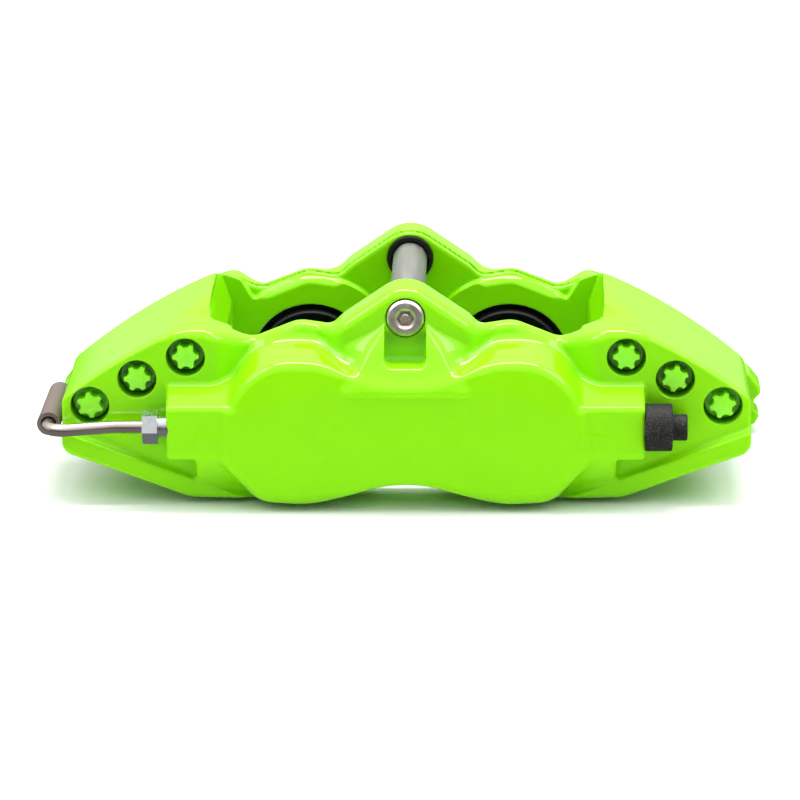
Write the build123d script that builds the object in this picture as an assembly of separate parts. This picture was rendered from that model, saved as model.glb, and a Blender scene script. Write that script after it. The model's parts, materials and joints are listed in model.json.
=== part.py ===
from build123d import *
import math
import os

# Fixed four-piston brake caliper in two bolted halves.
# It is drawn about the disc: X runs along the caliper, Y across the disc with the
# disc's middle plane at Y = 0, and Z points away from the axle. Every node is then
# moved so that the origin is midway between the two mounting holes, on the face
# that bolts to the upright. The outboard half is on the -Y side.
#
# A depth is a distance from the disc's middle plane, on either side of it.

# ---- driving dimensions, millimetres ----
DISC_R = 165.0
DISC_CLEARANCE = 3.0
DISC_SLOT_DEPTH = 16.5
DISC_CENTRE_Z = -104.7

WALL_DEPTH = 31.5
RIM_DEPTH = 40.0
FLANGE_DEPTH = 49.5
FACE_DEPTH = 62.8
PAD_HALF_LENGTH = 68.7
PAD_MOUTH_HALF_LENGTH = 73.2
PAD_MOUTH_Z = (52.0, 68.0)
ABOVE = 100.0
BELOW = -20.0

PISTON_R = 20.0
PISTON_X = 38.0
PISTON_Z = 30.0
PISTON_OUT = 29.2
PISTON_IN = 54.2
BORE_CLEARANCE = 0.06
BORE_DEPTH = 57.4
CUP_R = 15.0
CUP_BOTTOM = 48.0

SEAL_GAP = 0.02
SEAL_R = 23.2
SEAL_DEPTH = 38.5
SEAL_WIDTH = 2.7

BOOT_R = 23.2
BOOT_SEAT_DEPTH = 36.5
BOOT_GROOVE_R = 18.8
BOOT_GROOVE = (30.0, 31.6)

BOLT_R = 4.0
BOLT_HOLE_R = 4.3
THREAD_GAP = 0.02
THREAD_RUN_OUT = 2.0
BOLT_PLACES = ((116.5, 37.3), (98.9, 47.5), (80.9, 55.8))
COUNTERBORE_R = 7.15
COUNTERBORE_FLOOR = 41.5
BOLT_END = 30.0
STAR_R = 4.7
STAR_VALLEY_R = 1.5
STAR_VALLEY_PITCH_R = 4.75
STAR_HEIGHT = 6.3
BOLT_FLANGE_R = 6.0
BOLT_FLANGE_HEIGHT = 1.2

PIN_Z = 71.0
PIN_HEAD_R = 6.8
PIN_HEAD_HOLE_R = 7.25
PIN_HEAD_HEIGHT = 5.5
PIN_RECESS_R = 3.2
PIN_RECESS_DEPTH = 4.2
PIN_POST_R = 1.3
PIN_POST_BELOW_HEAD = 0.4
PIN_SHANK_R = 4.0
PIN_HEAD_SEAT = 45.5
PIN_THREAD_START = 41.0
PIN_END = 52.0
SLEEVE_R = 6.5
SLEEVE_BORE_R = 4.1
BUSH_R = 8.7
BUSH_BORE_R = 7.2
PIN_POCKET_Z = 55.0

PORT_X = 87.7
PORT_DEPTH = 56.3
PORT_Z = 31.3
PORT_THREAD_R = 5.0
PORT_LENGTH = 15.0
BLEED_THREAD_R = 4.0
GALLERY_R = 1.6
INLET_LENGTH = 9.0
FEED_DEPTH = 55.8

PIPE_R = 2.375
PIPE_BORE_R = 1.6
PIPE_BEND_R = 8.0
PIPE_RUN_X = 132.4
NUT_FLATS = 11.0
NUT_LENGTH = 5.6
NUT_TURN = 4.5
NUT_NECK_R = 3.9
NUT_NECK = 3.2
PIPE_SLEEVE_R = 4.35
PIPE_SLEEVE_BORE_R = 2.9
PIPE_SLEEVE_Y = (-45.0, 1.0)
PIPE_RUN_Z = (29.4, 27.0)
PIPE_RUN_END_Y = 2.0
PIPE_FRONT_BEND_X = 107.0
PIPE_RUN_LEAN = 0.6
INNER_PORT = (-110.0, 27.0, 20.5)
FEED_END = (-54.0, FEED_DEPTH, 27.0)

BLEED_FLATS = 9.0
BLEED_HEX = (88.2, 93.8)
BLEED_SEAT_R = 1.9
BLEED_BORE_R = 1.1
BLEED_END = 101.2
CAP_R = 8.75
CAP_FLAT_GAP = 0.15
CAP_LENGTH = 10.0
NIPPLE_R = 4.85
NIPPLE_LENGTH = 5.5

MOUNT_X = 122.0
MOUNT_Z = 14.0
MOUNT_HOLE_R = 6.25
MOUNT_DEPTH = 49.5
EAR_FRONT = 35.5
END_POCKET_X = 110.0
END_POCKET_FRONT = 13.0
END_POCKET_Z = 29.5

SIDES = {"left": -1, "right": 1}
MOUNT_FRAME = Pos(0, -MOUNT_DEPTH, -MOUNT_Z)

# Half outlines, (x, z), from the middle at the top round to the middle at the
# bottom, with the radius of each corner.
PLATE = [
    ((0, 85.2), 15.8), ((29.8, 65.4), 2.5), ((46.5, 65.4), 12.0), ((59.0, 59.3), 8.0),
    ((74.0, 66.4), 6.0), ((127.0, 66.4), 0), ((127.0, 18.8), 6.0), ((80.0, 1.0), 14.0),
    ((38.0, 0.0), 30.0), ((12.0, 3.5), 16.0), ((0, 8.6), 0),
]
HOUSING_ROOT = [
    ((0, 54.0), 0), ((14.0, 55.0), 10.0), ((29.0, 61.2), 9.0), ((48.0, 61.2), 9.0),
    ((66.0, 44.0), 4.0), ((70.0, 40.5), 2.0), ((70.0, 14.0), 4.0), ((57.0, 1.0), 7.0),
    ((24.0, 1.0), 9.0), ((10.0, 8.2), 6.0), ((0, 8.6), 0),
]
HOUSING_FACE = [
    ((0, 49.2), 0), ((14.0, 50.3), 10.0), ((30.0, 58.3), 9.0), ((47.0, 58.3), 9.0),
    ((62.0, 42.5), 4.0), ((66.7, 39.5), 2.0), ((66.7, 17.5), 4.0), ((54.0, 8.0), 7.0),
    ((27.0, 8.0), 9.0), ((12.0, 14.4), 6.0), ((0, 14.7), 0),
]
EAR = [
    (100, 37.3), (121, 36.7), (131, 27.9), (135, 21.5), (135, 15.9), (133, 13.3), (133, 9.3),
    (135, 7.3), (133, 3.9), (129, 2.3), (115, 2.3), (108, 9.3), (100, 13.3),
]

# Outlines across the disc, (depth, z), and in front view, (x, z).
BOSS_START_X = 60.0
BOSS = [(45, 20.5), (FACE_DEPTH, 22), (FACE_DEPTH, 39.2), (FLANGE_DEPTH, 46), (45, 46)]
GUSSET_FRONT = [(-9, 71), (9, 71), (18, 49.5), (-18, 49.5)]
GUSSET_SIDE = [(45, 71), (49.5, 71), (60, 53), (60, 49), (45, 49)]
HUMP_RELIEF = [(26, 90), (33, 61.2), (57, 61.2), (63, 67), (63, 90)]
CROWN_X = (71.5, 90.0)
CROWN = [(0, 60), (0, 71.2), (16, 71.2), (34, 65.6), (34, 60)]
BRIDGE_R = 205.0
BRIDGE_CENTRE_Z = -120.8
BRIDGE_FALL_START = 16.0
BRIDGE_FALL_SLOPE = 0.3
BRIDGE_FALL_X = (70.0, 140.0)
BRIDGE_FALL_Z = 20.0


# ---- helpers ----
def outline_face(half_outline, depth):
    """Closed outline from its half, on the plane at this depth on the -Y side."""
    corners = [corner for corner, radius in half_outline]
    radii = [radius for corner, radius in half_outline]
    mirrored = [(-x, z) for x, z in reversed(corners[1:-1])]
    loop = corners + mirrored
    loop_radii = radii + list(reversed(radii[1:-1]))
    sketch = make_face(Polyline(*loop, close=True))
    for corner, radius in zip(loop, loop_radii):
        if radius:
            nearest = sketch.vertices().sort_by_distance((corner[0], corner[1], 0))[0]
            sketch = fillet([nearest], radius)
    return Plane.XZ.offset(depth) * sketch


def slab(half_outline, start, end):
    return extrude(outline_face(half_outline, start), amount=end - start)


def block(x0, x1, depth0, depth1, z0, z1):
    """Box between two depths, on the -Y side."""
    size = (x1 - x0, depth1 - depth0, z1 - z0)
    return Pos((x0 + x1) / 2, -(depth0 + depth1) / 2, (z0 + z1) / 2) * Box(*size)


def across(x, z, radius, start, end):
    """Cylinder along Y between two depths, on the -Y side."""
    middle = Pos(x, -(start + end) / 2, z)
    return middle * Rot(90, 0, 0) * Cylinder(radius, abs(end - start))


def along(x0, x1, depth, z, radius):
    """Cylinder along X."""
    middle = Pos((x0 + x1) / 2, -depth, z)
    return middle * Rot(0, 90, 0) * Cylinder(radius, abs(x1 - x0))


def turned(profile, x, z):
    """Ring turned about a line along Y; the profile is (radius, depth) points."""
    face = make_face(Polyline(*[(r, -depth) for r, depth in profile], close=True))
    return Pos(x, 0, z) * revolve(face, Axis.Y)


def to_inboard(shape):
    return mirror(shape, about=Plane.XZ)


def save(name, *solids):
    placed = [MOUNT_FRAME * solid for solid in solids]
    node = placed[0] if len(placed) == 1 else Compound(placed)
    node.label = name
    export_step(node, f"parts/{name}.step")


# ---- the two cast halves ----
def port_boss(side):
    """Block at the end of the gallery, with a sloping flank above it."""
    face = make_face(Polyline(*[(-depth, z) for depth, z in BOSS], close=True))
    return extrude(Plane.YZ.offset(side * BOSS_START_X) * face, amount=side * (PORT_X - BOSS_START_X))


def gusset():
    """Tapered rib between the pin lug and the housing's top."""
    width = make_face(Polyline(*GUSSET_FRONT, close=True))
    prism = extrude(Plane.XZ.offset(RIM_DEPTH) * width, amount=FACE_DEPTH - RIM_DEPTH)
    slope = make_face(Polyline(*[(-depth, z) for depth, z in GUSSET_SIDE], close=True))
    return prism & extrude(Plane.YZ * slope, amount=FACE_DEPTH, both=True)


def hump_relief(side):
    """Space in front of the rim above the housing's shoulder."""
    face = make_face(Polyline(*[(side * x, z) for x, z in HUMP_RELIEF], close=True))
    return extrude(Plane.XZ.offset(RIM_DEPTH) * face, amount=FACE_DEPTH - RIM_DEPTH)


def crown(side):
    """The bridge's top over the disc, which dips towards the wall at the window's end."""
    face = make_face(Polyline(*[(-depth, z) for depth, z in CROWN], close=True))
    start, end = CROWN_X
    return extrude(Plane.YZ.offset(side * start) * face, amount=side * (end - start))


def casting():
    """Solid shape common to both halves, on the -Y side."""
    body = slab(PLATE, 0, FLANGE_DEPTH)
    for side in SIDES.values():
        body -= hump_relief(side)
        body += crown(side)
    body &= across(0, BRIDGE_CENTRE_Z, BRIDGE_R, -1, FLANGE_DEPTH + 1)
    housing = loft([outline_face(HOUSING_ROOT, RIM_DEPTH), outline_face(HOUSING_FACE, FACE_DEPTH)],
                   ruled=True)
    body += housing
    body += gusset()
    for side in SIDES.values():
        body += port_boss(side)
    return body


def disc_space():
    """Pad window through the middle, and the disc's slot under the bridges."""
    window = block(-PAD_HALF_LENGTH, PAD_HALF_LENGTH, -1, WALL_DEPTH, BELOW, ABOVE)
    low, high = PAD_MOUTH_Z
    right = [(PAD_HALF_LENGTH - 0.7, low), (PAD_MOUTH_HALF_LENGTH, high), (PAD_MOUTH_HALF_LENGTH, ABOVE)]
    left = [(-x, z) for x, z in reversed(right)]
    window += extrude(Plane.XZ.offset(-1) * make_face(Polyline(*right, *left, close=True)),
                      amount=WALL_DEPTH + 1)
    return window + across(0, DISC_CENTRE_Z, DISC_R + DISC_CLEARANCE, -1, DISC_SLOT_DEPTH)


def port(body, side, thread_r):
    """Threaded end of the gallery."""
    return body - along(side * (PORT_X - PORT_LENGTH), side * PORT_X, PORT_DEPTH, PORT_Z, thread_r)


def machined(body, gallery_left):
    """Bores, seal grooves, gallery and bleed port that both halves have."""
    body -= disc_space()
    bore_r = PISTON_R + BORE_CLEARANCE
    for side in SIDES.values():
        x = side * PISTON_X
        body -= across(x, PISTON_Z, bore_r, WALL_DEPTH - 1, BORE_DEPTH)
        body -= across(x, PISTON_Z, BOOT_R, WALL_DEPTH - 1, BOOT_SEAT_DEPTH)
        body -= across(x, PISTON_Z, SEAL_R, SEAL_DEPTH, SEAL_DEPTH + SEAL_WIDTH + 0.1)
    body -= along(gallery_left, PORT_X - PORT_LENGTH + 1, FEED_DEPTH, PORT_Z, GALLERY_R)
    return port(body, 1, BLEED_THREAD_R)


def outboard_body():
    body = port(machined(casting(), -PORT_X + PORT_LENGTH - 1), -1, PORT_THREAD_R)
    for side in SIDES.values():
        for x, z in BOLT_PLACES:
            body -= across(side * x, z, BOLT_HOLE_R, -1, FLANGE_DEPTH + 1)
            body -= across(side * x, z, COUNTERBORE_R, COUNTERBORE_FLOOR, FACE_DEPTH)
    body -= across(0, PIN_Z, PIN_HEAD_HOLE_R, WALL_DEPTH - 1, FACE_DEPTH)
    pocket = block(-PIN_HEAD_HOLE_R, PIN_HEAD_HOLE_R, FLANGE_DEPTH, FACE_DEPTH,
                   PIN_POCKET_Z, PIN_Z)
    return body - pocket


def ear(side):
    face = make_face(Polyline(*[(side * x, z) for x, z in EAR], close=True))
    return extrude(Plane.XZ.offset(EAR_FRONT) * face, amount=MOUNT_DEPTH - EAR_FRONT)


def bridge_fall(side):
    """What the bridge's top loses as it falls away behind the disc."""
    start, end = BRIDGE_FALL_X
    above = Pos(side * (start + end) / 2, (BRIDGE_FALL_Z + ABOVE) / 2)
    face = above * Rectangle(end - start, ABOVE - BRIDGE_FALL_Z)
    face -= Pos(0, BRIDGE_CENTRE_Z) * Circle(BRIDGE_R)
    return extrude(Plane.XZ.offset(BRIDGE_FALL_START) * face, amount=FACE_DEPTH,
                   dir=(0, -1, -BRIDGE_FALL_SLOPE))


def end_pocket(side):
    """Space at the end of the inboard half that takes the pipe and its nut."""
    inner, outer = sorted((side * END_POCKET_X, side * 2 * END_POCKET_X))
    return block(inner, outer, END_POCKET_FRONT, EAR_FRONT, BELOW, END_POCKET_Z)


def inboard_body():
    body = casting()
    for side in SIDES.values():
        body -= bridge_fall(side)
        body -= end_pocket(side)
        body += ear(side)
    body = machined(body, -PISTON_X - PISTON_R / 2)
    for side in SIDES.values():
        for x, z in BOLT_PLACES:
            body -= across(side * x, z, BOLT_R + THREAD_GAP, -1, BOLT_END + THREAD_RUN_OUT)
        body -= across(side * MOUNT_X, MOUNT_Z, MOUNT_HOLE_R, EAR_FRONT - 1, MOUNT_DEPTH + 1)
    body -= across(0, PIN_Z, BUSH_R, WALL_DEPTH - 1, PIN_THREAD_START)
    body -= across(0, PIN_Z, PIN_SHANK_R + THREAD_GAP, WALL_DEPTH, PIN_END + 1)
    body -= across(0, PORT_Z, PORT_THREAD_R, FACE_DEPTH - INLET_LENGTH, FACE_DEPTH + 1)
    x, depth, z = INNER_PORT
    body -= along(x, x + PORT_LENGTH - THREAD_RUN_OUT, depth, z, PORT_THREAD_R)
    feed_start = Vector(x + PORT_LENGTH - THREAD_RUN_OUT - 1, -depth, z)
    feed_end = Vector(FEED_END[0], -FEED_END[1], FEED_END[2])
    drill = Plane(origin=feed_start, z_dir=feed_end - feed_start)
    body -= extrude(drill * Circle(GALLERY_R), amount=(feed_end - feed_start).length)
    return to_inboard(body)


# ---- pistons and their rubbers, on the -Y side ----
def piston(x):
    low, high = BOOT_GROOVE
    profile = [
        (0, PISTON_IN), (PISTON_R - 1.2, PISTON_IN), (PISTON_R, PISTON_IN - 1.2), (PISTON_R, high),
        (BOOT_GROOVE_R, high), (BOOT_GROOVE_R, low), (PISTON_R, low), (PISTON_R, PISTON_OUT),
        (CUP_R + 0.8, PISTON_OUT), (CUP_R, PISTON_OUT + 0.8), (CUP_R, CUP_BOTTOM), (0, CUP_BOTTOM),
    ]
    return turned(profile, x, PISTON_Z)


def pressure_seal(x):
    inner = PISTON_R + SEAL_GAP
    near = SEAL_DEPTH + 0.05
    profile = [(inner, near), (SEAL_R, near), (SEAL_R, near + SEAL_WIDTH), (inner, near + SEAL_WIDTH)]
    return turned(profile, x, PISTON_Z)


def dust_boot(x):
    """Bead pressed in the housing, one fold, and a lip in the piston's groove."""
    low, high = BOOT_GROOVE
    lip = BOOT_GROOVE_R + SEAL_GAP
    profile = [
        (BOOT_R, BOOT_SEAT_DEPTH), (BOOT_R, 31.4), (BOOT_R - 0.9, 30.7), (BOOT_R - 1.7, 31.2),
        (BOOT_R - 1.7, 33.4), (21.0, 33.4), (21.0, low + 0.1), (lip, low + 0.1), (lip, high - 0.1),
        (20.3, high - 0.1), (20.3, 34.2), (BOOT_R - 1.7, 34.2), (BOOT_R - 1.7, BOOT_SEAT_DEPTH),
    ]
    return turned(profile, x, PISTON_Z)


# ---- bridge bolts ----
def bridge_bolt(x, z):
    """Star-headed bolt: six valleys round the head, a flange and a plain shank."""
    head = Circle(STAR_R)
    for step in range(6):
        angle = math.radians(60 * step)
        centre = (STAR_VALLEY_PITCH_R * math.cos(angle), STAR_VALLEY_PITCH_R * math.sin(angle))
        head -= Pos(*centre) * Circle(STAR_VALLEY_R)
    top = COUNTERBORE_FLOOR + STAR_HEIGHT + BOLT_FLANGE_HEIGHT
    bolt = extrude(Plane.XZ.offset(COUNTERBORE_FLOOR) * head, amount=top - COUNTERBORE_FLOOR)
    bolt = Pos(x, 0, z) * bolt
    bolt += across(x, z, BOLT_FLANGE_R, COUNTERBORE_FLOOR, COUNTERBORE_FLOOR + BOLT_FLANGE_HEIGHT)
    return bolt + across(x, z, BOLT_R, -BOLT_END, COUNTERBORE_FLOOR)


# ---- pad pin ----
def pad_pin_bolt():
    """Flanged round head with a hexagon recess and a post in its middle."""
    top = PIN_HEAD_SEAT + PIN_HEAD_HEIGHT
    bolt = across(0, PIN_Z, PIN_HEAD_R, PIN_HEAD_SEAT, top)
    bolt = chamfer(bolt.faces().sort_by(Axis.Y)[0].edges(), 0.7)
    hexagon = RegularPolygon(PIN_RECESS_R, 6)
    floor = top - PIN_RECESS_DEPTH
    bolt -= extrude(Plane.XZ.offset(floor) * Pos(0, PIN_Z) * hexagon, amount=PIN_RECESS_DEPTH)
    bolt += across(0, PIN_Z, PIN_POST_R, floor, top - PIN_POST_BELOW_HEAD)
    return bolt + across(0, PIN_Z, PIN_SHANK_R, -PIN_END, PIN_HEAD_SEAT)


def pad_pin_sleeve():
    tube = across(0, PIN_Z, SLEEVE_R, -PIN_THREAD_START, PIN_HEAD_SEAT)
    return tube - across(0, PIN_Z, SLEEVE_BORE_R, -PIN_THREAD_START, PIN_HEAD_SEAT)


def pad_pin_bush():
    ring = across(0, PIN_Z, BUSH_R, -PIN_THREAD_START, -WALL_DEPTH - 0.5)
    return ring - across(0, PIN_Z, BUSH_BORE_R, -PIN_THREAD_START, -WALL_DEPTH - 0.5)


# ---- crossover pipe ----
def pipe_path(start_x, end_x):
    """Front port to the inboard port, round the left end of the caliper."""
    x, depth, z = INNER_PORT
    front_z, back_z = PIPE_RUN_Z
    route = [
        (start_x, -PORT_DEPTH, PORT_Z), (-PIPE_FRONT_BEND_X, -PORT_DEPTH, PORT_Z),
        (-PIPE_RUN_X, -PORT_DEPTH, front_z), (-PIPE_RUN_X, PIPE_RUN_END_Y, back_z),
        (-PIPE_RUN_X + PIPE_RUN_LEAN, depth, z), (end_x, depth, z),
    ]
    radii = [20.0, PIPE_BEND_R, 60.0, PIPE_BEND_R]
    return FilletPolyline(*route, radius=radii)


def crossover_pipe():
    path = pipe_path(-PORT_X + 8, INNER_PORT[0] + 8)
    start = Plane(origin=path @ 0, z_dir=path % 0)
    return sweep(start * Circle(PIPE_R), path) - sweep(start * Circle(PIPE_BORE_R), path)


def tube_nut(port_x, depth, z):
    """Hexagon, neck and thread, drilled for the pipe; the port opens towards -X."""
    hex_start = port_x - NUT_NECK
    hexagon = RegularPolygon(NUT_FLATS / 2, 6, major_radius=False, rotation=NUT_TURN)
    nut = extrude(Plane.YZ.offset(hex_start) * Pos(-depth, z) * hexagon, amount=-NUT_LENGTH)
    nut += along(hex_start, port_x, depth, z, NUT_NECK_R)
    nut += along(port_x, port_x + 10, depth, z, PORT_THREAD_R - THREAD_GAP)
    return nut - along(port_x - 12, port_x + 12, depth, z, PIPE_R)


def pipe_sleeve():
    """Rubber tube slipped over the straight run of the pipe."""
    run_start = Vector(-PIPE_RUN_X, -PORT_DEPTH, PIPE_RUN_Z[0])
    run = Vector(-PIPE_RUN_X, PIPE_RUN_END_Y, PIPE_RUN_Z[1]) - run_start
    start, end = [run_start + run * ((y + PORT_DEPTH) / run.Y) for y in PIPE_SLEEVE_Y]
    plane = Plane(origin=start, z_dir=end - start)
    ring = Circle(PIPE_SLEEVE_R) - Circle(PIPE_SLEEVE_BORE_R)
    return extrude(plane * ring, amount=(end - start).length)


# ---- bleed screw and cap, on the -Y side ----
def bleed_screw():
    """Cone seat, thread, hexagon and hose nozzle, with the bleed drilling."""
    seat_x = PORT_X - PORT_LENGTH
    thread_r = BLEED_THREAD_R - THREAD_GAP
    low, high = BLEED_HEX
    profile = [
        (seat_x, 0), (seat_x, BLEED_SEAT_R), (seat_x + 3, thread_r - 0.8), (seat_x + 4, thread_r),
        (low, thread_r), (high, thread_r), (high, 2.9), (98.0, 2.3), (99.2, 3.1), (BLEED_END, 2.3),
        (BLEED_END, 0),
    ]
    face = make_face(Polyline(*profile, close=True))
    screw = Pos(0, -PORT_DEPTH, PORT_Z) * revolve(face, Axis.X)
    hexagon = RegularPolygon(BLEED_FLATS / 2, 6, major_radius=False)
    screw += extrude(Plane.YZ.offset(low) * Pos(-PORT_DEPTH, PORT_Z) * hexagon, amount=high - low)
    screw -= along(seat_x + 6, BLEED_END, PORT_DEPTH, PORT_Z, BLEED_BORE_R)
    cross_depths = (PORT_DEPTH - BLEED_THREAD_R, PORT_DEPTH + BLEED_THREAD_R)
    return screw - across(seat_x + 6.5, PORT_Z, BLEED_BORE_R - 0.3, *cross_depths)


def bleed_cap():
    """Rubber cap: a collar over the hexagon, flat beside the flange, and a small end over the nozzle."""
    collar_end = PORT_X + CAP_LENGTH
    end = collar_end + NIPPLE_LENGTH
    cap = along(PORT_X + 0.05, collar_end, PORT_DEPTH, PORT_Z, CAP_R)
    cap += along(collar_end, end, PORT_DEPTH, PORT_Z, NIPPLE_R)
    cap = fillet(cap.edges().filter_by(GeomType.CIRCLE), 0.6)
    flat_depth = FLANGE_DEPTH + CAP_FLAT_GAP
    cap -= block(PORT_X, end, flat_depth - CAP_R, flat_depth, PORT_Z - CAP_R, PORT_Z + CAP_R)
    hexagon_end = BLEED_HEX[1] + 0.4
    cap -= along(PORT_X, hexagon_end, PORT_DEPTH, PORT_Z, BLEED_FLATS / math.sqrt(3) + 0.4)
    return cap - along(hexagon_end, BLEED_END + 0.4, PORT_DEPTH, PORT_Z, 3.25)


os.makedirs("parts", exist_ok=True)

save("outboard_body", outboard_body())
save("inboard_body", inboard_body())

for side_name, side in SIDES.items():
    for piece_name, piece in (("piston", piston), ("piston_seal", pressure_seal), ("dust_boot", dust_boot)):
        outboard = piece(side * PISTON_X)
        save(f"{piece_name}_outboard_{side_name}", outboard)
        save(f"{piece_name}_inboard_{side_name}", to_inboard(outboard))
    bolts = [bridge_bolt(side * x, z) for x, z in BOLT_PLACES]
    save(f"bridge_bolts_{side_name}", *bolts)

save("pad_pin_bolt", pad_pin_bolt())
save("pad_pin_sleeve", pad_pin_sleeve())
save("pad_pin_bush", pad_pin_bush())

save("crossover_pipe", crossover_pipe())
save("pipe_nut_outboard", tube_nut(-PORT_X, PORT_DEPTH, PORT_Z))
save("pipe_nut_inboard", tube_nut(INNER_PORT[0], -INNER_PORT[1], INNER_PORT[2]))
save("pipe_sleeve", pipe_sleeve())

save("bleed_screw_outboard", bleed_screw())
save("bleed_screw_inboard", to_inboard(bleed_screw()))
save("bleed_cap_outboard", bleed_cap())
save("bleed_cap_inboard", to_inboard(bleed_cap()))
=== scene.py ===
import json
import math

import bmesh
import bpy
import numpy as np
import openvdb
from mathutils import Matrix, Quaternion, Vector


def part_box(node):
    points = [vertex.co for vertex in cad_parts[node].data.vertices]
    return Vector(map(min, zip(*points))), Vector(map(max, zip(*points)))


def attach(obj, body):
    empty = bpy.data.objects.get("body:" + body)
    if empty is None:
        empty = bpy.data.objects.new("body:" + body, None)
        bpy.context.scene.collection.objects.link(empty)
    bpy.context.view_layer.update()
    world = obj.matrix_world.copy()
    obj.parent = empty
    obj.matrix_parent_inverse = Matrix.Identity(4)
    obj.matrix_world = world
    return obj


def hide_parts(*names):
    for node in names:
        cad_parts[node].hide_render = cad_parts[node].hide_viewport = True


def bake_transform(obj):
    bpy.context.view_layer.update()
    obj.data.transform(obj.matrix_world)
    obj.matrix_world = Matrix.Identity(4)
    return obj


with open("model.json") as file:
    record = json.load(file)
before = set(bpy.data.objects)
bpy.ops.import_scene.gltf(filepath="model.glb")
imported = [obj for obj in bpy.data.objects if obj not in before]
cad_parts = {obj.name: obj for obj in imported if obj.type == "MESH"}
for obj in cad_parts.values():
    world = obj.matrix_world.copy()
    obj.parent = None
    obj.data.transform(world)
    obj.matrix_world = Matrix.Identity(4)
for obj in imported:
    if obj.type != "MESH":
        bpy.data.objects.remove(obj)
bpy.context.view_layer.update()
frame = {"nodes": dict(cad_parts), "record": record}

# The castings are worked out in "caliper" millimetres: x along the caliper, w the
# depth from the disc's middle plane on either side, z up from the lowest edge.
MM = 0.001
MIDDLE_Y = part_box("outboard_body")[1].y
PIN_Z = 71.0
pin_low, pin_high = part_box("pad_pin_sleeve")
FLOOR_Z = (pin_low.z + pin_high.z) / 2 - PIN_Z * MM
VOXEL = 0.6
ROUND = 144

# Depths of the castings' faces.
WALL = 31.5
RECESS = 34.0
RIM = 40.0
FLANGE = 49.5
RIB_FACE = 52.4
BOSS_FACE = 61.4
FACE = 62.8

# The disc, its slot, and the bridges over it.
DISC_AXIS_Z = -104.7
SLOT_R = 168.0
SLOT_DEPTH = 16.5
BRIDGE_AXIS_Z = -120.8
BRIDGE_R = 205.0
BRIDGE_FALL = 0.3
CROWN_Z = 71.2
CROWN_X = 71.5
CROWN_SLOPE = 0.311
HUMP_SLOPE = 0.144
WINDOW_X = 68.7
MOUTH_X = 73.2

PISTONS = (38.0, 30.0)
BORE_R = 20.06
BORE_DEPTH = 57.4
BOOT_R = 23.2
BOOT_SEAT = 36.5

BOLTS = ((116.5, 37.3), (98.9, 47.5), (80.9, 55.8))
BOLT_FLOOR = 41.5
BOLT_HOLE_R = 7.15
BOLT_TURNS = ((8, 32, 31), (43, 50, 30))
BOLT_SHANK_R = 3.9
FLANGE_R = 6.7
STAR_R = 4.95
STAR_PITCH_R = 5.5
STAR_VALLEY_R = 1.85

PIN_END = 52.0
PIN_SEAT = 45.5
PIN_HEAD_TOP = 51.0
PIN_HEAD_R = 6.8
PIN_SHANK_R = 3.95
PIN_POST_R = 1.7
PIN_RECESS_FLATS = 5.6
PIN_RECESS_DEPTH = 4.1
PIN_HOLE_R = 7.25
CHANNEL_X = 7.6
CHANNEL_Z = 54.5

PORT_X = 87.7
PORT_DEPTH = 56.3
PORT_Z = 31.3
PIPE_PORT_R = 4.3
BLEED_PORT_R = 4.05
INLET_R = 5.0
BOSS_Z = 19.3
UNDER_X = 77.5
MOUNT_HOLE = (122.0, 14.0)
MOUNT_HOLE_R = 6.25

# The camera: degrees, and metres from its target on the disc's middle plane.
CAMERA_AZIMUTH = 1.4536
CAMERA_ELEVATION = 17.0
CAMERA_ROLL = -0.39
CAMERA_DISTANCE = 1.7313
CAMERA_LENS = 205.56
TARGET_X = -0.0034
TARGET_RISE = 0.02449
FLOOR_REACH = 6.0

# Name, place (x, y from the disc's middle plane, z), size, strength.
LIGHTS = (
    ("overhead", (0, 0.05, 1.0), (0.9, 0.2), 20.0),
    ("behind", (0, 0.47, 0.97), (0.9, 0.06), 6.0),
    ("side", (-0.85, -0.2, 0.95), (0.5, 0.6), 5.0),
    ("side", (0.85, -0.2, 0.95), (0.5, 0.6), 5.0),
)

# Half outlines, (x, z, corner radius), from the middle at the top round to the
# middle at the bottom.
PLATE = [
    (0, 85.0, 14.0), (26.5, 66.8, 4), (39.5, 68.8, 12), (59, 61.0, 14), (74, 66.4, 6),
    (127, 66.4, 0.1), (127, 18.8, 6), (80, 1, 14), (38, 0, 30), (12, 3.5, 16), (0, 8.6, 3),
]
HOUSING_ROOT = [
    (0, 44.3, 48), (31.5, 60.2, 31), (59.7, 60.2, 26), (67.4, 40.5, 1.5), (70, 40.2, 2),
    (70, 14, 4), (57, 1, 7), (34.3, 0.6, 45), (8.3, 8.4, 45), (0, 8.9, 20),
]
HOUSING_FACE = [
    (0, 43.2, 50), (31, 56.7, 27), (57.2, 56.7, 24), (64.2, 39.9, 1.5), (66.7, 39.5, 2),
    (66.7, 18, 5), (53, 3.6, 12), (34.3, 2.4, 45), (8.3, 10, 45), (0, 10.4, 20),
]
EAR = [
    (100, 33, 3), (119, 32, 4), (131, 24, 5), (135, 18.8, 2), (135, 15.9, 1.5), (132.6, 13.4, 1),
    (132.6, 9.8, 1), (135, 7.3, 1.5), (133, 3.9, 2), (129, 2.3, 3), (115, 2.3, 3), (108, 9.3, 4),
    (100, 13.3, 3),
]

# Section of a dust boot, (radius, depth), from its seat round its fold and lip.
BOOT_PROFILE = [
    (23.1, 36.4), (23.1, 33.7), (22.7, 33.2), (22.2, 33.4), (21.9, 34.3), (21.4, 34.8), (21.0, 34.2),
    (20.9, 32.0), (20.7, 30.6), (20.3, 30.15), (18.95, 30.15), (18.95, 31.45), (20.25, 31.45),
    (20.4, 34.6), (21.1, 35.6), (22.0, 35.6), (22.4, 36.4),
]


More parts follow.
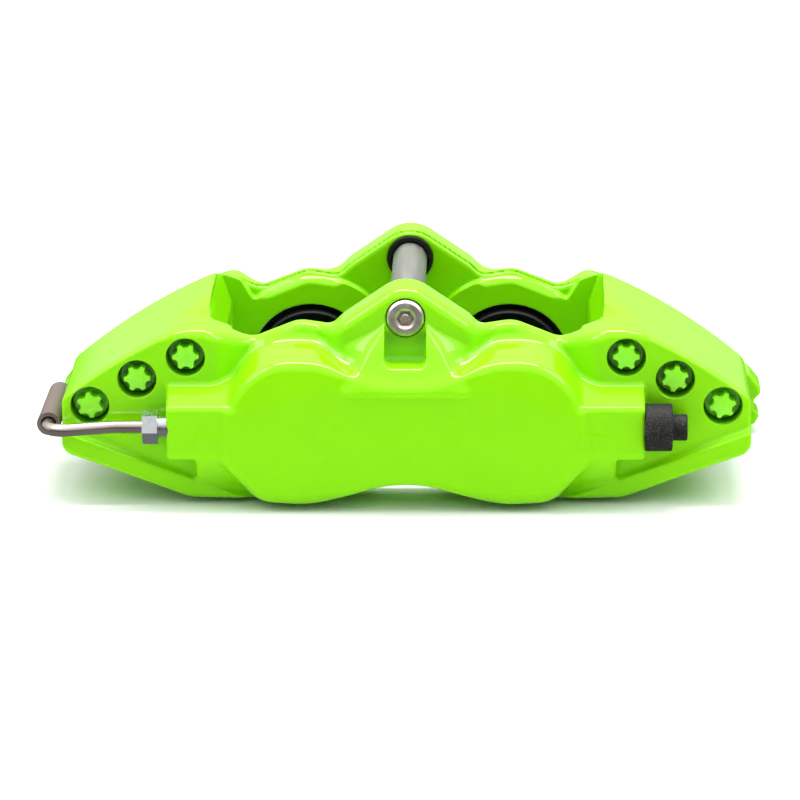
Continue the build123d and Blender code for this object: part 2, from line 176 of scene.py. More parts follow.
# ---- signed distances, negative inside ----
class Outline:
    """A closed outline with rounded corners; symmetric ones are given as half."""

    def __init__(self, corners, mirrored=True):
        self.mirrored = mirrored
        if mirrored:
            corners = corners + [(-x, z, r) for x, z, r in reversed(corners[1:-1])]
        points = np.array([c[:2] for c in corners], float)
        count = len(points)
        self.lines = []
        self.arcs = []
        area = sum(np.cross(points[i], points[(i + 1) % count]) for i in range(count))
        turn = 1 if area > 0 else -1
        starts, ends = [], []
        for i, (x, z, radius) in enumerate(corners):
            corner = points[i]
            back = points[i - 1] - corner
            ahead = points[(i + 1) % count] - corner
            back /= np.linalg.norm(back)
            ahead /= np.linalg.norm(ahead)
            half = math.acos(max(-1, min(1, float(back @ ahead)))) / 2
            reach = radius / math.tan(half)
            bisector = back + ahead
            bisector /= np.linalg.norm(bisector)
            centre = corner + bisector * (radius / math.sin(half))
            convex = turn * float(np.cross(-back, ahead)) > 0
            starts.append(corner + back * reach)
            ends.append(corner + ahead * reach)
            self.arcs.append((centre, radius, bisector, math.cos(math.pi / 2 - half), convex))
        for i in range(count):
            a, b = ends[i], starts[(i + 1) % count]
            along = b - a
            length = np.linalg.norm(along)
            if length > 1e-6:
                self.lines.append((a, along / length, length, turn))
        if mirrored:
            self.lines = [s for s in self.lines if max(s[0][0], (s[0] + s[1] * s[2])[0]) > 0.001]
            self.arcs = [a for a in self.arcs if a[0][0] > -0.001]

    def __call__(self, x, z):
        if self.mirrored:
            x = np.abs(x)
        x, z = np.broadcast_arrays(x, z)
        best = np.full(x.shape, 1e9)
        for a, u, length, turn in self.lines:
            px, pz = x - a[0], z - a[1]
            t = np.clip(px * u[0] + pz * u[1], 0, length)
            distance = np.hypot(px - t * u[0], pz - t * u[1])
            side = (pz * u[0] - px * u[1]) * turn
            signed = np.where(side > 0, -distance, distance)
            best = np.where(np.abs(signed) < np.abs(best), signed, best)
        for centre, radius, out, cosine, convex in self.arcs:
            px, pz = x - centre[0], z - centre[1]
            r = np.hypot(px, pz)
            within = -(px * out[0] + pz * out[1]) >= r * cosine
            signed = r - radius if convex else radius - r
            nearer = within & (np.abs(signed) < np.abs(best))
            best = np.where(nearer, signed, best)
        return best


def both(a, b, r):
    """Intersection with its outer edge rounded."""
    return np.minimum(np.maximum(a, b), -r) + np.hypot(np.maximum(a + r, 0), np.maximum(b + r, 0))


def either(a, b, r):
    """Union with a fillet in its inner corner."""
    return np.maximum(np.minimum(a, b), r) - np.hypot(np.maximum(r - a, 0), np.maximum(r - b, 0))


def less(a, b, r):
    return both(a, -b, r)


def smooth(t):
    t = np.clip(t, 0, 1)
    return t * t * (3 - 2 * t)


def soft_plus(v, width):
    return width * np.logaddexp(0, v / width)


def hole(x, z, centre, radius):
    return np.hypot(x - centre[0], z - centre[1]) - radius


plate_outline = Outline(PLATE)
root_outline = Outline(HOUSING_ROOT)
face_outline = Outline(HOUSING_FACE)
ear_outline = Outline(EAR, mirrored=False)


def hump_drop(ax, w):
    """How far the humps beside the lug come down towards the disc."""
    return HUMP_SLOPE * np.clip(FLANGE - w, 0, 18) * smooth((ax - 22) / 8) * smooth((66 - ax) / 12)


def plate_edge(x, w, z, fall=0.0):
    """The rim seen from the front, with the bridges' tops turned about the disc."""
    ax = np.abs(x)
    crown = both(z - CROWN_Z + CROWN_SLOPE * np.maximum(w - 16, 0), CROWN_X - ax, 0.5)
    lift = 1.7 * np.clip((w - 36) / 16, 0, 1) * smooth((34 - z) / 20)
    plate = np.minimum(plate_outline(x, z - lift + hump_drop(ax, w)), np.maximum(crown, 62 - z))
    turned = 16 - 13 * np.clip((ax - 65) / 60, 0, 1) ** 1.5
    drop = fall * np.maximum(w - turned, 0) * smooth((ax - 30) / 10)
    return both(plate, np.hypot(x, z - BRIDGE_AXIS_Z + drop) - BRIDGE_R, 2.0)


def piston_housing(x, w, z):
    """The two-lobed housing over the bores, drafted from its root to its face."""
    ax = np.abs(x)
    t = np.clip((w - RIM) / (FACE - RIM), -0.3, 1.3)
    housing = (1 - t) * root_outline(x, z) + t * face_outline(x, z)
    above = np.hypot(x, z - DISC_AXIS_Z) - 154
    face = w - FACE + soft_plus(above, 1.2) * math.tan(math.radians(8))
    return both(housing, face, 1.6 + 1.4 * smooth((ax - 20) / 10) + 1.6 * smooth((22 - z) / 12))


def port_boss(ax, w, z):
    boss = both(w - BOSS_FACE, (w - 62.0) * 0.478 + (z - 39.2) * 0.878, 1.3)
    boss = both(boss, (w - 62.0) * 0.785 - (z - 21.6) * 0.62, 1.6)
    boss = both(both(boss, ax - PORT_X, 1.3), 55 - ax, 1)
    return both(both(boss, 40 - w, 1), BOSS_Z - z, 2.2)


def boss_flank(ax, w, z):
    """The slope that carries the port's boss down to the lower edge."""
    under = both((w - 62.0) * 0.785 - (z - 21.6) * 0.62, w - BOSS_FACE, 1.6)
    return both(both(under, ax - UNDER_X, 2), both(40 - w, z - 30, 1), 1)


def lower_rib(ax, w, z, plate):
    over = (ax - 80) * -0.354 + (z - 2.7) * 0.935
    rib = both(w - RIB_FACE, (over - 6.8 - 0.5 * (RIB_FACE - w)) * 0.894, 0.5)
    return both(both(rib, plate, 1.8), 40 - w, 1)


def lug_ridge(ax, w, z):
    """The wedge that stiffens the lug below the pad pin."""
    flank = ((ax - 8.7) - (66.3 - z) * 0.92) * 0.76 + (w - 52.2) * 0.38
    ridge = both((w - FLANGE) * 0.864 + (z - PIN_Z) * 0.504, flank, 0.8)
    return both(both(ridge, both(40 - w, 46 - z, 1), 1), z - PIN_Z + 2, 1)


def casting(x, w, z, fall=0.0):
    """The shape common to both halves before machining."""
    ax = np.abs(x)
    plate = plate_edge(x, w, z, fall)
    front = RIM + (FLANGE - RIM) * (smooth((ax - 55) / 17) + smooth((34 - ax) / 12))
    body = both(plate, (w - front) * 0.85, 1.8 + 2.2 * smooth((92 - ax) / 12))
    body = either(body, lug_ridge(ax, w, z), 1.5 + 6 * smooth((68 - z) / 9))
    shoulder = smooth((z - 42) / 6) * smooth((60 - ax) / 8)
    body = either(body, piston_housing(x, w, z), 1.2 + 1.2 * smooth((ax - 50) / 8) + 2.6 * shoulder)
    body = either(body, lower_rib(ax, w, z, plate), 1.0)
    body = either(body, boss_flank(ax, w, z), 2.0)
    return np.maximum(either(body, port_boss(ax, w, z), 1.2), plate)


def pad_space(x, w, z):
    """The pads' window, its slanting mouth and the disc's slot."""
    ax = np.abs(x)
    mouth = np.maximum((ax - 68) * 0.951 - (z - 52) * 0.309, ax - MOUTH_X)
    window = both(np.minimum(ax - WINDOW_X, mouth), w - WALL, 0.4)
    slot = both(np.hypot(x, z - DISC_AXIS_Z) - SLOT_R, w - SLOT_DEPTH, 1.5)
    return np.minimum(window, slot)


def rim_relief(body, x, w, z):
    """Bevel with a small step along the rim, and the lug and corners set back."""
    ax = np.abs(x)
    plate = plate_outline(x, z + hump_drop(ax, w))
    end = (ax - 59.6) * 0.87 - (z - 54.3) * 0.5
    step = np.minimum(np.minimum(plate + 1.0, 35 - w), -end)
    bevel = np.minimum(np.minimum((plate + 1.0 + 34.4 - w) * 0.7071, 35 - w), -end)
    body = both(both(body, step, 0.25), bevel, 0.5)
    islands = both(33 - np.hypot(ax - 37, z - 31), end, 1.8)
    islands = both(both(islands, 50 - z, 2), w - RECESS, 1.0)
    return less(body, islands, 1.0)


def machined(body, x, w, z):
    ax = np.abs(x)
    body = less(body, pad_space(x, w, z), 0.5)
    from_piston = np.hypot(ax - PISTONS[0], z - PISTONS[1])
    body = less(body, both(from_piston - BOOT_R, w - BOOT_SEAT, 0.2), 0.4)
    body = less(body, both(from_piston - BORE_R, w - BORE_DEPTH, 0.2), 0.2)
    return body


def outboard(x, w, z):
    body = machined(rim_relief(casting(x, w, z), x, w, z), x, w, z)
    ax = np.abs(x)
    for place in BOLTS:
        body = less(body, both(hole(ax, z, place, BOLT_HOLE_R), BOLT_FLOOR - w, 0.3), 0.45)
    body = less(body, both(hole(x, z, (0, PIN_Z), PIN_HOLE_R), PIN_SEAT - w, 0.3), 0.35)
    body = np.maximum(body, -hole(x, z, (0, PIN_Z), 6.6))
    channel = both(both(ax - CHANNEL_X, FLANGE - w, 1.5), CHANNEL_Z - z, 3)
    body = less(body, both(channel, z - PIN_Z, 1), 0.6 + 0.5 * smooth((62 - z) / 5))
    port_r = np.where(x < 0, PIPE_PORT_R, BLEED_PORT_R)
    port = both(np.hypot(w - PORT_DEPTH, z - PORT_Z) - port_r, 78 - ax, 0.3)
    return less(body, port, 0.3)


def inboard(x, w, z):
    body = rim_relief(casting(x, w, z, BRIDGE_FALL), x, w, z)
    ax = np.abs(x)
    pocket = both(both(110 - ax, z - 29.5, 2), both(13 - w, w - 35.5, 1.5), 2)
    body = less(body, pocket, 1.2)
    ear = both(ear_outline(ax, z), both(35.5 - w, w - FLANGE, 1), 1.5)
    body = either(body, ear, 2.0)
    body = machined(body, x, w, z)
    body = less(body, both(hole(ax, z, MOUNT_HOLE, MOUNT_HOLE_R), 34 - w, 0.3), 0.5)
    body = less(body, both(hole(x, z, (0, PIN_Z), 8.7), w - 41, 0.2), 0.35)
    body = np.maximum(body, -both(hole(x, z, (0, PIN_Z), 4.0), w - 53, 0.2))
    bleed = both(np.hypot(w - PORT_DEPTH, z - PORT_Z) - BLEED_PORT_R, 73 - x, 0.3)
    body = less(body, bleed, 0.3)
    inlet = both(hole(x, z, (0, PORT_Z), INLET_R), 53.8 - w, 0.3)
    body = less(body, inlet, 0.4)
    pipe_port = both(np.hypot(w - 27, z - 20.5) - INLET_R, both(x + 97, -x - 125, 1), 0.3)
    return less(body, pipe_port, 0.3)


# ---- meshing ----
def value_and_gradient(shape, p, h=0.04):
    total = np.zeros(len(p))
    gradient = np.zeros_like(p)
    for corner in ((1, -1, -1), (-1, -1, 1), (-1, 1, -1), (1, 1, 1)):
        corner = np.array(corner, float)
        q = p + corner * h
        value = shape(q[:, 0], q[:, 1], q[:, 2])
        total += value
        gradient += value[:, None] * corner
    return total / 4, gradient / (4 * h)


def drawn_to(shape, points, rounds=3):
    """Moves points onto the true surface, a part of a voxel at a time."""
    for _ in range(rounds):
        value, gradient = value_and_gradient(shape, points)
        step = gradient * (value / np.maximum((gradient ** 2).sum(1), 0.2))[:, None]
        reach = np.maximum(np.linalg.norm(step, axis=1), 1e-9)
        points = points - step * np.minimum(1, 0.6 * VOXEL / reach)[:, None]
    return points


def polygons(shape, low, high):
    """Quads and points of the shape's surface inside a box, in caliper millimetres."""
    low, high = np.array(low, float), np.array(high, float)
    steps = np.ceil((high - low) / VOXEL).astype(int)
    xs, ws, zs = (low[i] + VOXEL * np.arange(steps[i] + 1) for i in range(3))
    values = shape(xs[:, None, None], ws[None, :, None], zs[None, None, :])
    grid = openvdb.FloatGrid(4 * VOXEL)
    grid.copyFromArray(np.ascontiguousarray(np.clip(values, -3 * VOXEL, 3 * VOXEL), np.float32))
    points, triangles, quads = grid.convertToPolygons(isovalue=0.0, adaptivity=0.0)
    return low + points.astype(float) * VOXEL, quads.astype(int)


def cast_half(name, shape, side, reach):
    """One half as a mesh in the row frame; side is -1 outboard and 1 inboard."""
    points, quads = polygons(shape, (-reach, -1.8, -1.8), (reach, 65.0, 84.6))
    kept = points[:, 1] > -1.2
    points[kept] = drawn_to(shape, points[kept])
    bm = bmesh.new()
    verts = [bm.verts.new(p) for p in points]
    for quad in quads:
        bm.faces.new([verts[i] for i in quad])
    geometry = bm.verts[:] + bm.edges[:] + bm.faces[:]
    cut = bmesh.ops.bisect_plane(bm, geom=geometry, plane_co=(0, 0, 0), plane_no=(0, -1, 0),
                                 clear_outer=True, dist=1e-4)
    bmesh.ops.edgeloop_fill(bm, edges=[e for e in cut["geom_cut"] if isinstance(e, bmesh.types.BMEdge)])
    bmesh.ops.triangulate(bm, faces=[f for f in bm.faces if len(f.verts) > 4])
    bmesh.ops.recalc_face_normals(bm, faces=bm.faces[:])
    mesh = bpy.data.meshes.new(name)
    bm.to_mesh(mesh)
    bm.free()

    local = points_of(mesh)
    normals = value_and_gradient(shape, local)[1]
    normals /= np.maximum(np.linalg.norm(normals, axis=1), 1e-9)[:, None]
    add_masks(mesh, local, side)

    turn = np.array((1, side, 1))
    placed = local * turn * MM + np.array((0, MIDDLE_Y, FLOOR_Z))
    mesh.vertices.foreach_set("co", placed.ravel())
    if side < 0:
        mesh.flip_normals()
    mesh.update()
    set_normals(mesh, normals * turn, np.abs(local[:, 1]) < 0.01)
    return mesh


def points_of(mesh):
    flat = np.empty(len(mesh.vertices) * 3)
    mesh.vertices.foreach_get("co", flat)
    return flat.reshape(-1, 3)


def set_normals(mesh, normals, at_joint):
    """Smooth normals from the shape, but the face's own where the two halves meet."""
    owner = np.empty(len(mesh.loops), int)
    mesh.loops.foreach_get("vertex_index", owner)
    loop_normals = normals[owner]
    faces_flat = np.empty(len(mesh.polygons) * 3)
    mesh.polygons.foreach_get("normal", faces_flat)
    sizes = np.empty(len(mesh.polygons), int)
    mesh.polygons.foreach_get("loop_total", sizes)
    face_of_loop = np.repeat(np.arange(len(sizes)), sizes)
    flat = faces_flat.reshape(-1, 3)[face_of_loop]
    joint_face = np.bincount(face_of_loop, at_joint[owner]) == sizes
    loop_normals = np.where(joint_face[face_of_loop][:, None], flat, loop_normals)
    mesh.shade_smooth()
    mesh.normals_split_custom_set(loop_normals)


def add_masks(mesh, p, side):
    """Where paint gives way to bare metal, and painted shade that darkens the counterbores and the pin's
    channel with depth.
    """
    ax = np.abs(p[:, 0])
    from_piston = np.hypot(ax - PISTONS[0], p[:, 2] - PISTONS[1])
    bare = (from_piston < 23.35) & (p[:, 1] > WALL + 0.15) & (p[:, 1] < 58)
    painted_shade = np.zeros(len(p))
    if side < 0:
        # Painted shade: the bolts' counterbores darken towards their floors.
        for place in BOLTS:
            inside = smooth((7.4 - np.hypot(ax - place[0], p[:, 2] - place[1])) / 0.5)
            painted_shade = np.maximum(painted_shade, inside * smooth((FLANGE - p[:, 1]) / 6 + 0.1))
        # Painted shade, half as strong, down the channel below the pad pin.
        channel = smooth((7.8 - ax) / 0.6) * smooth((p[:, 2] - 56) / 9) * smooth((PIN_Z - 4 - p[:, 2]) / 2)
        painted_shade = np.maximum(painted_shade, 0.5 * channel * smooth((54 - p[:, 1]) / 3))
    for title, values in (("bare", bare.astype(float)), ("painted_shade", painted_shade)):
        mesh.attributes.new(title, "FLOAT", "POINT").data.foreach_set("value", values)


# ---- materials ----
def material(name, build):
    made = bpy.data.materials.new(name)
    made.use_nodes = True
    tree = made.node_tree
    shader = tree.nodes["Principled BSDF"]
    build(Nodes(tree), shader)
    return made


class Nodes:
    """Short names for the few nodes that the materials use."""

    def __init__(self, tree):
        self.tree = tree
        self.coords = tree.nodes.new("ShaderNodeTexCoord").outputs["Object"]

    def link(self, source, target):
        self.tree.links.new(source, target)

    def stretched(self, scale):
        node = self.tree.nodes.new("ShaderNodeMapping")
        node.inputs["Scale"].default_value = scale
        self.link(self.coords, node.inputs["Vector"])
        return node.outputs["Vector"]

    def noise(self, scale, detail=3.0, vector=None, rough=0.5):
        node = self.tree.nodes.new("ShaderNodeTexNoise")
        node.inputs["Scale"].default_value = scale
        node.inputs["Detail"].default_value = detail
        node.inputs["Roughness"].default_value = rough
        self.link(vector or self.coords, node.inputs["Vector"])
        return node.outputs["Fac"]

    def spread(self, value, low, high, to_low, to_high):
        node = self.tree.nodes.new("ShaderNodeMapRange")
        for title, number in (("From Min", low), ("From Max", high), ("To Min", to_low), ("To Max", to_high)):
            node.inputs[title].default_value = number
        self.link(value, node.inputs["Value"])
        return node.outputs["Result"]

    def mixed(self, factor, a, b):
        node = self.tree.nodes.new("ShaderNodeMix")
        node.data_type = "RGBA"
        self.link(factor, node.inputs["Factor"])
        for value, title in ((a, "A"), (b, "B")):
            socket = [s for s in node.inputs if s.name == title and s.type == "RGBA"][0]
            if hasattr(value, "links"):
                self.link(value, socket)
            else:
                socket.default_value = (*value, 1)
        return [s for s in node.outputs if s.type == "RGBA"][0]

    def blended(self, factor, a, b):
        node = self.tree.nodes.new("ShaderNodeMix")
        self.link(factor, node.inputs["Factor"])
        for value, title in ((a, "A"), (b, "B")):
            if hasattr(value, "links"):
                self.link(value, node.inputs[title])
            else:
                node.inputs[title].default_value = value
        return node.outputs["Result"]

    def attribute(self, name):
        node = self.tree.nodes.new("ShaderNodeAttribute")
        node.attribute_name = name
        return node.outputs["Fac"]

    def bump(self, height, distance, strength=1.0):
        node = self.tree.nodes.new("ShaderNodeBump")
        node.inputs["Distance"].default_value = distance
        node.inputs["Strength"].default_value = strength
        self.link(height, node.inputs["Height"])
        return node.outputs["Normal"]


def paint(n, shader):
    cloud = n.noise(55, 2)
    colour = n.mixed(cloud, (0.210, 0.64, 0.002), (0.228, 0.68, 0.003))
    # Painted shade: dark green where the mask marks the counterbores and the pin's channel.
    colour = n.mixed(n.attribute("painted_shade"), colour, (0.035, 0.14, 0.003))
    colour = n.mixed(n.attribute("bare"), colour, (0.30, 0.31, 0.30))
    n.link(colour, shader.inputs["Base Color"])
    n.link(n.spread(n.noise(400, 2), 0.3, 0.7, 0.30, 0.42), shader.inputs["Roughness"])
    shader.inputs["Specular IOR Level"].default_value = 0.0
    shader.inputs["Coat Weight"].default_value = 0.75
    shader.inputs["Coat Roughness"].default_value = 0.09
    peel = n.bump(n.noise(700, 1.5), 0.00003, 0.6)
    n.link(peel, shader.inputs["Normal"])
    n.link(n.bump(n.noise(700, 1.5), 0.00001, 0.4), shader.inputs["Coat Normal"])


def bolt_paint(n, shader):
    colour = n.mixed(n.noise(200, 2), (0.22, 0.76, 0.004), (0.25, 0.84, 0.006))
    # Painted shade: darker green low down in the counterbores.
    colour = n.mixed(n.attribute("painted_shade"), colour, (0.06, 0.26, 0.004))
    n.link(colour, shader.inputs["Base Color"])
    shader.inputs["Roughness"].default_value = 0.38
    shader.inputs["Coat Weight"].default_value = 0.6
    shader.inputs["Coat Roughness"].default_value = 0.08
    n.link(n.bump(n.noise(900, 2), 0.00004, 0.7), shader.inputs["Normal"])


def metal(low, high, rough, grain=(1, 1, 1), grain_scale=300, bump=0.00002):
    def build(n, shader):
        streaks = n.noise(grain_scale, 3, n.stretched(grain))
        n.link(n.mixed(streaks, low, high), shader.inputs["Base Color"])
        n.link(n.spread(streaks, 0.3, 0.7, rough[0], rough[1]), shader.inputs["Roughness"])
        shader.inputs["Metallic"].default_value = 1.0
        n.link(n.bump(streaks, bump, 0.6), shader.inputs["Normal"])
    return build


def rubber(low, high, rough=(0.55, 0.8), dust=0.0):
    def build(n, shader):
        mottle = n.noise(260, 4, rough=0.7)
        colour = n.mixed(mottle, low, high)
        if dust:
            specks = n.spread(n.noise(1500, 3, rough=0.8), 0.56, 0.68, 0, dust)
            colour = n.mixed(specks, colour, (0.30, 0.29, 0.26))
        n.link(colour, shader.inputs["Base Color"])
        n.link(n.spread(mottle, 0.3, 0.7, rough[0], rough[1]), shader.inputs["Roughness"])
        shader.inputs["Specular IOR Level"].default_value = 0.22
        n.link(n.bump(n.noise(1200, 3), 0.00006, 0.7), shader.inputs["Normal"])
    return build


FINISHES = {
    "green_paint": paint,
    "green_bolt": bolt_paint,
    "nickel": metal((0.86, 0.74, 0.68), (0.98, 0.90, 0.85), (0.34, 0.50), grain_scale=500),
    "satin_steel": metal((0.30, 0.30, 0.275), (0.40, 0.40, 0.37), (0.42, 0.55), (1, 0.04, 1), 700),
    "pipe_steel": metal((0.50, 0.40, 0.36), (0.74, 0.65, 0.61), (0.20, 0.36), (0.05, 1, 1), 900),
    "zinc": metal((0.52, 0.54, 0.56), (0.72, 0.74, 0.76), (0.18, 0.40), grain_scale=450),
    "black_anodised": metal((0.012, 0.012, 0.013), (0.03, 0.03, 0.03), (0.28, 0.42), grain_scale=400),
    "black_rubber": rubber((0.006, 0.006, 0.006), (0.012, 0.012, 0.011), (0.45, 0.65)),
    "cap_rubber": rubber((0.008, 0.008, 0.007), (0.020, 0.019, 0.017), (0.5, 0.75), dust=0.3),
    "taupe_rubber": rubber((0.13, 0.10, 0.085), (0.18, 0.145, 0.125), (0.5, 0.7)),
}
finishes = {name: material(name, build) for name, build in FINISHES.items()}


def finish(piece, name):
    piece.data.materials.clear()
    piece.data.materials.append(finishes[name])


# ---- pieces ----
def new_piece(name, mesh, slot):
    piece = bpy.data.objects.new(name, mesh)
    bpy.context.scene.collection.objects.link(piece)
    finish(piece, slot)
    return piece


def add(name, mesh, slot, replaced, body="caliper"):
    """A piece that rides on one body in place of a CAD node."""
    piece = new_piece(name, mesh, slot)
    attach(piece, body)
    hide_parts(replaced)


def ring_stack(rings, axis_y, name, annular=False):
    """Closed mesh along Y from rings of radii; an annular one joins its last ring to its first."""
    bm = bmesh.new()
    count = len(rings[0][1])
    angles = 2 * np.pi * np.arange(count) / count
    x0, z0 = axis_y
    loops = []
    for depth, radii in rings:
        loops.append([bm.verts.new(((x0 + r * math.cos(a)) * MM, MIDDLE_Y - depth * MM,
                                    FLOOR_Z + (z0 + r * math.sin(a)) * MM))
                      for r, a in zip(radii, angles)])
    for lower, upper in zip(loops, loops[1:] + loops[:1] if annular else loops[1:]):
        for i in range(count):
            j = (i + 1) % count
            bm.faces.new((lower[i], lower[j], upper[j], upper[i]))
    if not annular:
        bm.faces.new(loops[0])
        bm.faces.new(loops[-1])
    bmesh.ops.recalc_face_normals(bm, faces=bm.faces[:])
    mesh = bpy.data.meshes.new(name)
    bm.to_mesh(mesh)
    bm.free()
    return mesh


def star_radii(turn):
    """Six rounded lobes with shallow valleys between them."""
    angles = 2 * np.pi * np.arange(ROUND) / ROUND
    away = np.abs((angles - turn + np.pi / 6) % (np.pi / 3) - np.pi / 6)
    pitch, valley = STAR_PITCH_R, STAR_VALLEY_R
    dip = np.sqrt(np.maximum(valley ** 2 - (pitch * np.sin(away)) ** 2, 0))
    inner = np.where(pitch * np.sin(away) < valley, pitch * np.cos(away) - dip, 9.0)
    return 1 / (inner ** -14.0 + STAR_R ** -14.0) ** (1 / 14)


def star_bolt(name, x, z, turn):
    star = star_radii(turn)
    flange = np.full(ROUND, FLANGE_R)
    plain = np.full(ROUND, BOLT_SHANK_R)
    floor, step, top = BOLT_FLOOR, BOLT_FLOOR + 1.2, BOLT_FLOOR + 7.5
    rings = [(floor - 2, plain), (floor, plain), (floor, flange), (step - 0.4, flange),
             (step, flange - 0.5), (step, star + 0.1), (step + 0.3, star), (top - 0.45, star),
             (top - 0.12, star - 0.2), (top, star - 0.5)]
    return ring_stack(rings, (x, z), name)


def joined(name, meshes):
    bm = bmesh.new()
    for mesh in meshes:
        bm.from_mesh(mesh)
        bpy.data.meshes.remove(mesh)
    whole = bpy.data.meshes.new(name)
    bm.to_mesh(whole)
    bm.free()
    return whole


def smooth_by_angle(mesh, degrees=35):
    mesh.shade_smooth()
    mesh.set_sharp_from_angle(angle=math.radians(degrees))


def bolts(side_name, side, turns):
    name = "star_bolts_" + side_name
    mesh = joined(name, [star_bolt(name, side * x, z, math.radians(turn))
                         for (x, z), turn in zip(BOLTS, turns)])
    smooth_by_angle(mesh)
    local = points_of(mesh)
    depth = (MIDDLE_Y - local[:, 1]) / MM
    # Painted shade: the flanges and lower lobes darken down in the counterbores, less on the outermost bolt
    # of each side.
    shaded = 0.6 - 0.5 * smooth((np.abs(local[:, 0]) / MM - 104) / 4)
    low = shaded * smooth((BOLT_FLOOR + 6.0 - depth) / 4)
    mesh.attributes.new("painted_shade", "FLOAT", "POINT").data.foreach_set("value", low)
    add(name, mesh, "green_bolt", "bridge_bolts_" + side_name)


def hexagon_radii(flats):
    angles = 2 * np.pi * np.arange(ROUND) / ROUND
    return flats / 2 / np.cos(angles % (np.pi / 3) - np.pi / 6)


def pin_bolt():
    """Bevelled head with a chamfered hexagon recess round a post, on a plain shank."""
    def plain(radius):
        return np.full(ROUND, radius)

    top = PIN_HEAD_TOP
    recess = hexagon_radii(PIN_RECESS_FLATS)
    rings = [(-PIN_END, plain(3.2)), (0.7 - PIN_END, plain(PIN_SHANK_R)), (PIN_SEAT, plain(PIN_SHANK_R)),
             (PIN_SEAT, plain(PIN_HEAD_R - 0.3)), (PIN_SEAT + 0.3, plain(PIN_HEAD_R)),
             (top - 0.9, plain(PIN_HEAD_R)), (top - 0.15, plain(6.1)), (top, plain(5.7)),
             (top, plain(4.0)), (top - 0.15, plain(3.75)), (top - 0.7, recess),
             (top - PIN_RECESS_DEPTH, recess), (top - PIN_RECESS_DEPTH, plain(PIN_POST_R)),
             (top - 1.0, plain(PIN_POST_R)), (top - 0.6, plain(PIN_POST_R - 0.4))]
    mesh = ring_stack(rings, (0, PIN_Z), "pin_bolt")
    smooth_by_angle(mesh, 25)
    add("pin_bolt", mesh, "nickel", "pad_pin_bolt", body="pad_pin")


def boot(half, end, sign, x):
    """Rubber ring whose lip sits in the piston's groove."""
    rings = [(sign * depth, np.full(96, radius)) for radius, depth in BOOT_PROFILE]
    name = "_".join(("boot", half, end))
    mesh = ring_stack(rings, (x, PISTONS[1]), name, annular=True)
    smooth_by_angle(mesh, 40)
    piece = new_piece(name, mesh, "black_rubber")
    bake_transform(piece)
    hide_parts("_".join(("dust_boot", half, end)))


pin_bolt()
for half, sign in (("outboard", 1), ("inboard", -1)):
    boot(half, "left", sign, -PISTONS[0])
    boot(half, "right", sign, PISTONS[0])
bolts("left", -1, BOLT_TURNS[0])
bolts("right", 1, BOLT_TURNS[1])

add("outboard_casting", cast_half("outboard_casting", outboard, -1, 129.5), "green_paint", "outboard_body")
add("inboard_casting", cast_half("inboard_casting", inboard, 1, 137.5), "green_paint", "inboard_body")

for sub in frame["record"]["subparts"]:
    node = frame["nodes"][sub["node"]]
    finish(node, sub["material_slot"])


# ---- studio ----
def area_light(name, place, target, size, strength):
    light = bpy.data.lights.new(name, "AREA")
    light.shape = "RECTANGLE"
    light.size, light.size_y = size
    light.energy = strength * size[0] * size[1] * math.pi
    lamp = bpy.data.objects.new(name, light)
    lamp.location = place
    lamp.rotation_euler = (Vector(target) - Vector(place)).to_track_quat("-Z", "Y").to_euler()
    bpy.context.scene.collection.objects.link(lamp)


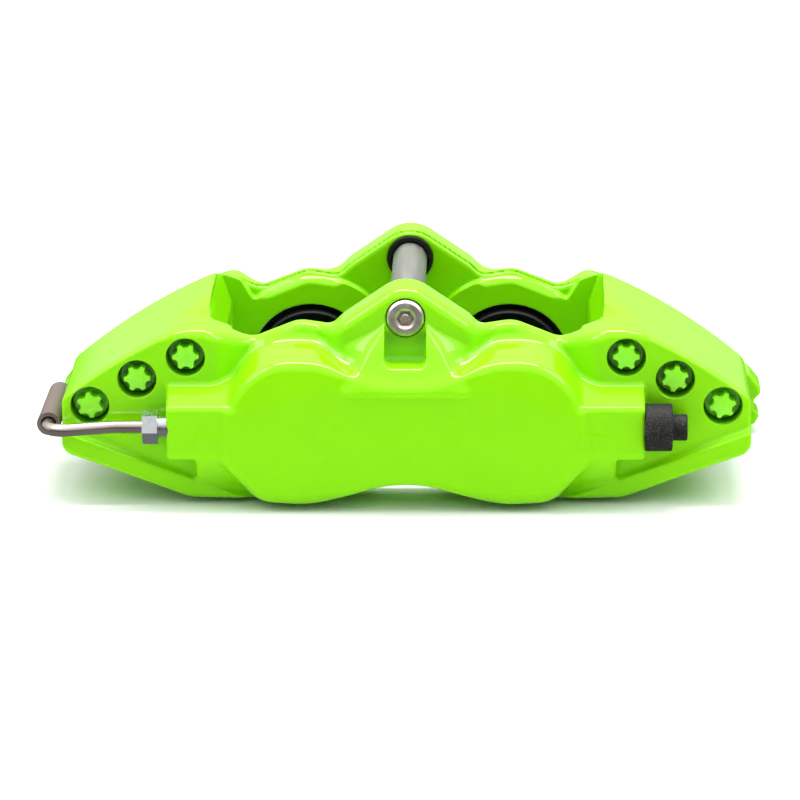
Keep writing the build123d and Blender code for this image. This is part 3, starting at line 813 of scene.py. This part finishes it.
def studio():
    middle = (0, MIDDLE_Y, FLOOR_Z)
    mesh = bpy.data.meshes.new("floor")
    corners = [(x * FLOOR_REACH, y * FLOOR_REACH, FLOOR_Z) for x, y in ((-1, -1), (1, -1), (1, 1), (-1, 1))]
    mesh.from_pydata(corners, [], [(0, 1, 2, 3)])
    floor = bpy.data.objects.new("floor", mesh)
    bpy.context.scene.collection.objects.link(floor)

    def pale(n, shader):
        n.link(n.mixed(n.noise(3, 2), (0.80, 0.80, 0.80), (0.83, 0.83, 0.83)), shader.inputs["Base Color"])
        shader.inputs["Roughness"].default_value = 0.9
        shader.inputs["Specular IOR Level"].default_value = 0.1
    mesh.materials.append(material("pale_floor", pale))

    floor.visible_glossy = False
    surroundings()
    for name, place, size, strength in LIGHTS:
        area_light(name, (place[0], MIDDLE_Y + place[1], place[2]), middle, size, strength)


def surroundings():
    """White all round but for a dark strip low down on the front side and a dim floor."""
    world = bpy.data.worlds.new("studio")
    bpy.context.scene.world = world
    world.use_nodes = True
    nodes = Nodes(world.node_tree)
    split = world.node_tree.nodes.new("ShaderNodeSeparateXYZ")
    direction = world.node_tree.nodes.new("ShaderNodeTexCoord").outputs["Generated"]
    nodes.link(direction, split.inputs["Vector"])
    behind = nodes.spread(split.outputs["Y"], -0.35, 0.1, 0, 1)
    above = nodes.spread(split.outputs["Z"], 0.1, 0.75, 0.05, 1.35)
    backdrop = nodes.spread(split.outputs["Z"], 0.3, 0.6, 0.7, 1.35)
    upper = nodes.blended(behind, above, backdrop)
    below = nodes.spread(split.outputs["Z"], -0.35, -0.05, 0.24, 0.06)
    horizon = nodes.spread(split.outputs["Z"], -0.02, 0.02, 0, 1)
    nodes.link(nodes.blended(horizon, below, upper), world.node_tree.nodes["Background"].inputs["Strength"])
    world.node_tree.nodes["Background"].inputs["Color"].default_value = (1, 1, 1, 1)


def camera():
    data = bpy.data.cameras.new("camera")
    data.lens = CAMERA_LENS
    data.sensor_width = 36
    azimuth, elevation = math.radians(CAMERA_AZIMUTH), math.radians(CAMERA_ELEVATION)
    back = Vector((math.sin(azimuth) * math.cos(elevation), -math.cos(azimuth) * math.cos(elevation),
                   math.sin(elevation)))
    target = Vector((TARGET_X, MIDDLE_Y, FLOOR_Z + TARGET_RISE))
    view = bpy.data.objects.new("camera", data)
    view.location = target + back * CAMERA_DISTANCE
    view.rotation_mode = "QUATERNION"
    roll = Quaternion((0, 0, 1), math.radians(CAMERA_ROLL))
    view.rotation_quaternion = (-back).to_track_quat("-Z", "Y") @ roll
    data.clip_start, data.clip_end = 0.1, 20
    bpy.context.scene.collection.objects.link(view)
    bpy.context.scene.camera = view


studio()
camera()
bpy.context.scene.view_settings.view_transform = "Standard"
